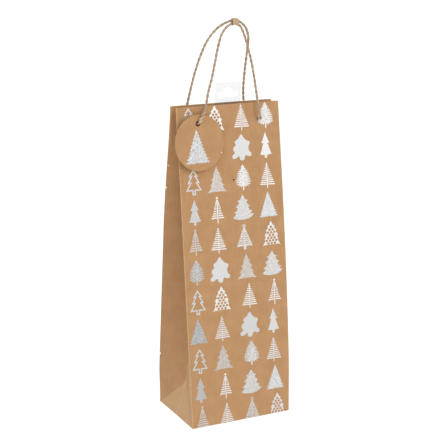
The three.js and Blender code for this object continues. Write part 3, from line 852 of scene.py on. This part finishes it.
def make_flecks(material):
    """Bits of the back wall's print that reach round its left fold onto the gusset."""
    points, faces = [], []

    def place(across, z, lift):
        return gusset_point(-1, 1, across / HALF_DEPTH, z) - Vector((PAPER / 2 + 2 * lift, 0, 0))

    for z, wide, high in ((283, 2.6, 0.8), (258, 1.4, 2.6), (61, 2.0, 2.8)):
        fleck = [(0.2, -0.5), (0.8, -0.35), (1.0, 0.1), (0.55, 0.5), (0.1, 0.3)]
        add_plate([[(a * wide * MM, (z + b * high) * MM) for a, b in fleck]], place, points, faces)
    return foil_object("fold_foil_flecks", points, faces, [(0.9, 0.1, 0.0)] * len(faces), material)


def make_speck(material):
    """A dark speck in the front paper."""
    points, faces = [], []
    spot = [(2.2 * MM + a * MM, 268.6 * MM + b * MM) for a, b in disc(0, 0, 0.95, 9)]
    add_plate([spot], lambda x, up, lift: wall_surface(-1, x, up, lift), points, faces)
    return make_object("paper_speck", points, faces, None, material, sharp_angle=30)


# ---------- the gift tag ----------


def tag_point(a, b, lift):
    """A point of the tag: a to the right of its hole, b above it, lift out of its middle layer."""
    lift += TAG_CURL * ((a / TAG_RADIUS) ** 2 + 0.4 * ((b + 20 * MM) / TAG_RADIUS) ** 2)
    x = -HOLE_X + a * cos(TAG_YAW) + lift * sin(TAG_YAW)
    out = STAND_OFF - a * sin(TAG_YAW) + lift * cos(TAG_YAW)
    return wall_point(-1, x, HOLE_UP + b, out)


def make_tag(material):
    """A disc with a hole near its top, as rings from the hole's edge out to the rim."""
    spokes, rings = 96, 12
    hole = Vector(TAG_HOLE_OFFSET)
    offset = Vector((TAG_CENTRE_X, TAG_HOLE_DROP - TAG_RADIUS)) - hole
    spots = [[] for _ in range(rings + 1)]
    for k in range(spokes):
        angle = turn(k, spokes)
        ray = Vector((cos(angle), sin(angle)))
        along = offset.dot(ray)
        reach = along + sqrt(along**2 - offset.length_squared + TAG_RADIUS**2)
        for r in range(rings + 1):
            spots[r].append(hole + ray * (TAG_HOLE_RADIUS + (reach - TAG_HOLE_RADIUS) * r / rings))
    top, under = ([[tag_point(p.x, p.y, lift) for p in row] for row in spots]
                  for lift in (TAG_THICKNESS / 2, -TAG_THICKNESS / 2))
    points, faces = slab(top, under, wrap=True)
    uvs = [(p.x, p.y) for row in spots for p in row]
    return make_object("gift_tag_card", points, faces, uvs + uvs, material)


def make_tag_print(material):
    """The tag's tree and one stray fleck of foil."""
    draw = random.Random(5)
    points, faces = [], []
    tree_x, tree_foot, size = -4.0 * MM, -43.2 * MM, 1.3

    def place(x, y, lift):
        return tag_point(tree_x + x * size * MM, tree_foot + y * size * MM, TAG_THICKNESS / 2 + lift)

    for shape in tree_rough(draw, width=11.6):
        add_plate(shape, place, points, faces, longest=3)
    add_plate([disc(22.6, 8.2, 0.6, 12)], place, points, faces, longest=3)
    return foil_object("gift_tag_foil_tree", points, faces, [(0.8, 0.7, 0.0)] * len(faces), material)


# ---------- knots, band ----------


def knot_path(face, side):
    """From the turn in front of a hole straight in through it, then an overhand knot behind the rim."""
    aside = -face * 0.6 * MM
    path = []
    for k in range(9):
        out = STAND_OFF - 0.2 * MM - 0.7 * MM * k
        path.append(wall_point(face, side * HOLE_X + aside, HOLE_UP + 0.5 * MM, out))
    centre_out = -RIM_THICKNESS - 2.35 * MM
    turns = 44
    for i in range(turns + 1):
        t = turn(i, turns)
        x = KNOT_SIZE * (sin(t) + 2 * sin(2 * t)) * MM
        up = KNOT_SIZE * (cos(t) - 2 * cos(2 * t) + 1) * MM
        out = -KNOT_DEPTH * sin(3 * t) * MM
        path.append(wall_point(face, side * HOLE_X + x, HOLE_UP + up - 0.4 * MM, centre_out + out))
    return path


def make_band(material):
    """A paper band wound round both ropes at the crest."""
    front, back = handle_path(FRONT_HANDLE_POINTS, 12), handle_path(BACK_HANDLE_POINTS, 12)
    middle_x = (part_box("handle_band")[0].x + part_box("handle_band")[1].x) / 2
    radius = ROPE_DIAMETER / 2 + 0.35 * MM
    steps, around = 22, 40
    outer, inner = [], []
    for i in range(steps + 1):
        share = 2 * i / steps - 1
        x = middle_x + BAND_LENGTH / 2 * share
        f = min(front, key=lambda p: abs(p.x - x))
        b = min(back, key=lambda p: abs(p.x - x))
        lower, upper = Vector((f.y, f.z)), Vector((b.y, b.z))
        span = upper - lower
        height = min(span.length, BAND_REACH)
        up = span.normalized()
        side = Vector((up.y, -up.x))
        for rows, thickness in ((outer, BAND_THICKNESS), (inner, 0.0)):
            reach = radius + thickness + BAND_FLARE * abs(share) ** 4
            row = []
            for k in range(around):
                c, s = cos(turn(k, around)), sin(turn(k, around))
                spot = lower + side * (reach * c) + up * ((height if s > 0 else 0.0) + reach * s)
                row.append(Vector((x + BAND_SLANT * s, spot.x, spot.y)))
            rows.append(row)
    points, faces = slab(outer, inner, wrap=True)
    uvs = [(k / around, i / steps) for _ in (0, 1) for i in range(steps + 1) for k in range(around)]
    return make_object("handle_band_paper", points, faces, uvs, material)


# ---------- materials ----------


class Shader:
    """A material's node tree, built a node at a time."""

    def __init__(self, name):
        self.material = bpy.data.materials.new(name)
        self.material.use_nodes = True
        self.tree = self.material.node_tree
        self.tree.nodes.clear()
        self.surface = self.add("BsdfPrincipled")
        self.add("OutputMaterial", {"Surface": self.surface.outputs["BSDF"]})

    def add(self, kind, inputs=None, **settings):
        node = self.tree.nodes.new("ShaderNode" + kind)
        for key, value in settings.items():
            setattr(node, key, value)
        for key, value in (inputs or {}).items():
            self.feed(node.inputs[key], value)
        return node

    def feed(self, socket, value):
        """Links an output to an input, or sets the input to a plain value."""
        if isinstance(value, bpy.types.NodeSocket):
            self.tree.links.new(value, socket)
        else:
            socket.default_value = value

    def coordinates(self, source, scale=TO_MM):
        """Texture coordinates, times a scale for each direction."""
        where = self.add("TexCoord").outputs[source]
        return self.add("Mapping", {"Vector": where, "Scale": scale}).outputs["Vector"]

    def separated(self, vector):
        return self.add("SeparateXYZ", {"Vector": vector}).outputs

    def noise(self, vector, scale, detail, roughness):
        settings = {"Vector": vector, "Scale": scale, "Detail": detail, "Roughness": roughness}
        return self.add("TexNoise", settings).outputs["Fac"]

    def ramp(self, value, low, high, start=0.0, end=1.0):
        settings = {"Value": value, "From Min": low, "From Max": high, "To Min": start, "To Max": end}
        return self.add("MapRange", settings).outputs["Result"]

    def math(self, operation, a, b):
        return self.add("Math", {0: a, 1: b}, operation=operation).outputs["Value"]

    def mix(self, factor, a, b):
        """Colour a, going over to b as the factor goes from 0 to 1."""
        return self.add("Mix", {0: factor, 6: a, 7: b}, data_type="RGBA").outputs[2]

    def bump(self, height, distance, strength):
        settings = {"Height": height, "Distance": distance, "Strength": strength}
        return self.add("Bump", settings).outputs["Normal"]

    def set(self, **values):
        """Sets inputs of the surface shader, with _ for each space of their names."""
        for key, value in values.items():
            self.feed(self.surface.inputs[key.replace("_", " ")], value)


PAINTED_LIGHT_AND_WEAR_KRAFT = (0.62, 0.42, 0.235, 1)


def kraft_material(name, source="UV", worn=True):
    """Brown kraft paper: fine ribs along the sheet, fibres, faint mottling, dark flecks, and folds painted paler,
    partly for wear and partly as a painted highlight. With worn, the gussets' triangles are also painted paler as
    painted light.
    """
    s = Shader(name)
    flat = s.coordinates(source)
    streaks = s.noise(s.coordinates(source, (900, 45, 45)), 1.0, 4.0, 0.6)
    mottle = s.noise(flat, 0.06, 5.0, 0.6)
    fibres = s.noise(s.coordinates(source, (2600, 700, 700)), 1.0, 3.0, 0.7)
    tone = s.math("ADD", s.ramp(streaks, 0.3, 0.7, -0.2, 0.2), s.ramp(mottle, 0.3, 0.7, -0.22, 0.22))
    tone = s.math("ADD", tone, s.ramp(fibres, 0.3, 0.7, 0.32, 0.68))
    colour = s.mix(tone, (0.34, 0.18, 0.079, 1), (0.462, 0.262, 0.124, 1))
    fleck = s.ramp(s.noise(flat, 0.9, 2.0, 0.5), 0.73, 0.78)
    colour = s.mix(s.math("MULTIPLY", fleck, 0.35), colour, (0.2, 0.1, 0.045, 1))
    if worn:
        # Painted highlight and wear: pale lines along the folds, where the rounded paper catches the light and its
        # fibres are rubbed.
        distances = s.separated(s.add("UVMap", uv_map="folds").outputs["UV"])
        rubbed = s.ramp(s.noise(flat, 0.35, 3.0, 0.6), 0.3, 0.6, 0.25, 0.85)
        for axis, strength in (("X", 0.7), ("Y", 0.25)):
            away = s.math("ABSOLUTE", distances[axis], 0.0)
            line = s.math("MULTIPLY", s.ramp(away, 0.3, 1.3, strength, 0.0), rubbed)
            colour = s.mix(line, colour, PAINTED_LIGHT_AND_WEAR_KRAFT)
        # Painted light: the gussets' triangles, below the diagonal crease, are painted paler for the light they
        # catch as they tilt up.
        below = s.ramp(s.math("MULTIPLY", distances["Y"], -1.0), 0.2, 1.2, 0.0, 0.35)
        colour = s.mix(below, colour, PAINTED_LIGHT_AND_WEAR_KRAFT)
    ribs = s.add("TexWave", {"Vector": flat, "Scale": 0.32, "Distortion": 1.2, "Detail": 2.0},
                 wave_type="BANDS", bands_direction="X").outputs["Fac"]
    relief = s.math("ADD", s.math("MULTIPLY", ribs, 0.35), fibres)
    s.set(Base_Color=colour, Normal=s.bump(relief, 0.00005, 0.55), Roughness=0.82, Specular_IOR_Level=0.25)
    s.set(Sheen_Weight=0.08, Sheen_Roughness=0.5)
    return s.material


def fibre_material(name, source, scale, texture, dark, light, relief, roughness, specular):
    """Card or paper that goes from dark to light along its fibres. texture is their scale, detail, roughness."""
    s = Shader(name)
    fibres = s.noise(s.coordinates(source, scale), *texture)
    colour = s.mix(s.ramp(fibres, 0.3, 0.7), dark, light)
    s.set(Base_Color=colour, Normal=s.bump(fibres, relief, 0.6), Roughness=roughness, Specular_IOR_Level=specular)
    return s.material


def rope_material():
    """Light tan yarn: fine strands along each ply, paler where the plies open out at the start."""
    s = Shader("twisted_yarn")
    strands = s.noise(s.coordinates("UV", (9, 1.6, 1)), 1.0, 3.0, 0.65)
    patches = s.noise(s.coordinates("UV", (1.2, 0.22, 1)), 1.0, 2.0, 0.5)
    tone = s.math("ADD", s.ramp(strands, 0.3, 0.7, -0.1, 0.7), s.ramp(patches, 0.35, 0.65, -0.1, 0.35))
    along = s.separated(s.add("UVMap", uv_map="UVMap").outputs["UV"])["Y"]
    tone = s.math("ADD", tone, s.ramp(along, 4, 17, 0.45, 0.0))
    colour = s.mix(tone, (0.2, 0.135, 0.088, 1), (0.6, 0.435, 0.295, 1))
    s.set(Base_Color=colour, Normal=s.bump(strands, 0.00012, 0.9), Roughness=0.85, Specular_IOR_Level=0.25)
    s.set(Sheen_Weight=0.25, Sheen_Roughness=0.4)
    return s.material


def foil_material():
    """Hot-stamped silver foil. Its mesh says how bright, glittery and worn each tree is."""
    s = Shader("silver_foil")
    flat = s.coordinates("Object")
    look = s.separated(s.add("Attribute", attribute_name="foil").outputs["Vector"])
    grains = s.ramp(s.noise(flat, 0.85, 2.0, 0.6), 0.36, 0.6)
    cells = s.add("TexVoronoi", {"Vector": flat, "Scale": 1.7}, feature="F1")
    sparkle = s.add("SeparateColor", {"Color": cells.outputs["Color"]}).outputs["Red"]
    # Painted glints: the foil is darkened in random cells, as much as the tree's glitter says, standing in for
    # flakes that catch the light unevenly.
    painted_glint_shade = s.math("SUBTRACT", 1.6, s.math("ADD", grains, sparkle))
    painted_glint_shade = s.math("MULTIPLY", s.math("MULTIPLY", painted_glint_shade, look["Y"]), 0.5)
    level = s.math("SUBTRACT", look["X"], s.math("MAXIMUM", painted_glint_shade, 0.0))
    cloud = s.noise(flat, 0.11, 2.0, 0.5)
    silver = s.mix(s.ramp(cloud, 0.35, 0.65), (0.92, 0.9, 0.87, 1), (0.87, 0.885, 0.89, 1))
    colour = s.mix(level, (0.1, 0.1, 0.1, 1), silver)
    rubbed = s.math("MULTIPLY", s.ramp(s.noise(flat, 0.5, 3.0, 0.6), 0.3, 0.62), look["Z"])
    colour = s.mix(rubbed, colour, (0.6, 0.43, 0.3, 1))
    s.set(Base_Color=colour, Normal=s.bump(cells.outputs["Distance"], 0.0001, 0.4), Metallic=0.8, Roughness=0.36)
    return s.material


def film_material():
    """Clear film, slightly frosted."""
    s = Shader("clear_film")
    flat = s.coordinates("Object")
    haze = s.noise(flat, 0.25, 3.0, 0.6)
    s.set(Base_Color=(0.3, 0.31, 0.32, 1), Alpha=s.ramp(haze, 0.3, 0.7, 0.13, 0.17), Roughness=0.3)
    s.set(Normal=s.bump(haze, 0.00003, 0.4), Specular_IOR_Level=0.3)
    return s.material


def plain_material(name, **values):
    s = Shader(name)
    s.set(**values)
    return s.material


# ---------- camera, light and floor ----------


def make_camera():
    camera = add_to_scene("camera", bpy.data.cameras.new("camera"))
    camera.data.lens = CAMERA_LENS
    camera.data.sensor_width = SENSOR_WIDTH
    flat, rise = cos(CAMERA_ELEVATION), sin(CAMERA_ELEVATION)
    towards = Vector((-sin(CAMERA_AZIMUTH) * flat, cos(CAMERA_AZIMUTH) * flat, -rise))
    camera.location = CAMERA_TARGET - towards * CAMERA_DISTANCE
    camera.rotation_mode = "QUATERNION"
    camera.rotation_quaternion = towards.to_track_quat("-Z", "Y")
    bpy.context.scene.camera = camera


def make_light():
    world = bpy.data.worlds.new("studio")
    world.use_nodes = True
    background = world.node_tree.nodes["Background"]
    background.inputs["Color"].default_value = (1, 1, 1, 1)
    background.inputs["Strength"].default_value = 1.0
    bpy.context.scene.world = world
    bpy.context.scene.view_settings.view_transform = "Standard"
    for name, energy, travel in (("key_light", 0.82, (-0.25, 0.8, -0.55)), ("fill_light", 0.12, (0.5, 0, -1))):
        light = add_to_scene(name, bpy.data.lights.new(name, "SUN"))
        light.data.energy = energy
        light.data.angle = LIGHT_ANGLE
        light.rotation_mode = "QUATERNION"
        light.rotation_quaternion = Vector(travel).to_track_quat("-Z", "Y")


def make_floor():
    """A pale floor that glows enough to stay white."""
    material = plain_material("pale_floor", Base_Color=(0.2, 0.2, 0.2, 1), Roughness=0.9, Specular_IOR_Level=0.0,
                              Emission_Color=(1, 1, 1, 1), Emission_Strength=0.93)
    half = FLOOR_HALF_WIDTH
    corners = [(-half, -half, 0), (half, -half, 0), (half, half, 0), (-half, half, 0)]
    floor = make_object("floor", corners, [(0, 1, 2, 3)], None, material)
    floor.location.z = -FLOOR_DROP


# ---------- making everything ----------

make_camera()

yarn = rope_material()
front_path, back_path = handle_path(FRONT_HANDLE_POINTS, 16), handle_path(BACK_HANDLE_POINTS, 16)
front_rope = twisted_rope("front_handle_yarn", front_path, yarn, phase=0.4, loose=FRONT_LOOSE_LENGTH)
back_rope = twisted_rope("back_handle_yarn", back_path, yarn, phase=1.9)
for rope, path, body, node in (
    (front_rope, front_path, "front_handle", "front_handle_rope"),
    (back_rope, back_path, "back_handle", "back_handle_rope"),
):
    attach(rope, body)
    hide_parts(node)

band_paper = fibre_material("band_paper", "UV", (60, 14, 1), (1.0, 3.0, 0.6), (0.34, 0.235, 0.15, 1),
                            (0.5, 0.355, 0.235, 1), relief=0.00005, roughness=0.75, specular=0.3)
band = make_band(band_paper)
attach(band, "front_handle")
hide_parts("handle_band")

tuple(front_path[0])
resample(front_path, 2 * MM)
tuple(back_path[0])
resample(back_path, 2 * MM)

kraft = kraft_material("kraft_paper")
foil = foil_material()
# Painted shade: the cut edge of the rim's paper and card inside the holes is painted near-black, standing in for
# the shadow deep in them. The dark speck in the front paper takes the same colour.
punched = plain_material("painted_hole_shade_and_speck", Base_Color=(0.05, 0.028, 0.014, 1), Roughness=0.95, Specular_IOR_Level=0.0)
for face, label in ((-1, "front"), (1, "back")):
    wall = make_wall(face, label, kraft, punched)
    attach(wall, label + "_wall")
    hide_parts(label + "_panel", label + "_rim_card", label + "_rim_fold")
    trees = make_print(face, label, foil)
    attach(trees, label + "_wall")
    for side, name in ((-1, "left"), (1, "right")):
        tied = twisted_rope(f"{label}_{name}_knot_yarn", knot_path(face, -face * side), yarn, phase=0.4 + side,
                            loose=KNOT_LOOSE_LENGTH)
        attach(tied, label + "_wall")
        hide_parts(f"{label}_knot_{name}")

for side, name in ((-1, "left"), (1, "right")):
    for face, label in ((-1, "front"), (1, "back")):
        gusset = make_gusset_half(side, face, f"{name}_gusset_{label}_paper", kraft)
        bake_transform(gusset)
        replaced = [f"{name}_gusset_{label}"] + ([f"{name}_gusset_triangle"] if face < 0 else [])
        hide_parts(*replaced)

speck = make_speck(punched)
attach(speck, "front_wall")
flecks = make_flecks(foil)
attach(flecks, "back_wall")

tag = make_tag(kraft_material("tag_card", worn=False))
tag_trees = make_tag_print(foil)
for piece, slot in ((tag, "tag_card"), (tag_trees, "silver_foil")):
    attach(piece, "tag")
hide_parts("gift_tag")

flat_kraft = kraft_material("kraft_flaps", source="Object", worn=False)
grey_card = fibre_material("grey_card", "Object", TO_MM, (1.6, 4.0, 0.7), (0.36, 0.3, 0.23, 1),
                           (0.5, 0.44, 0.35, 1), relief=0.00006, roughness=0.9, specular=0.2)
film = film_material()
flaps = ["bottom_flap_front", "bottom_flap_back", "bottom_flap_left", "bottom_flap_right", "side_seam_flap"]
for material, nodes in ((flat_kraft, flaps), (grey_card, ["base_card"]), (film, ["hang_tab"])):
    for node in nodes:
        mesh = frame["nodes"][node].data
        mesh.materials.clear()
        mesh.materials.append(material)

make_light()
make_floor()
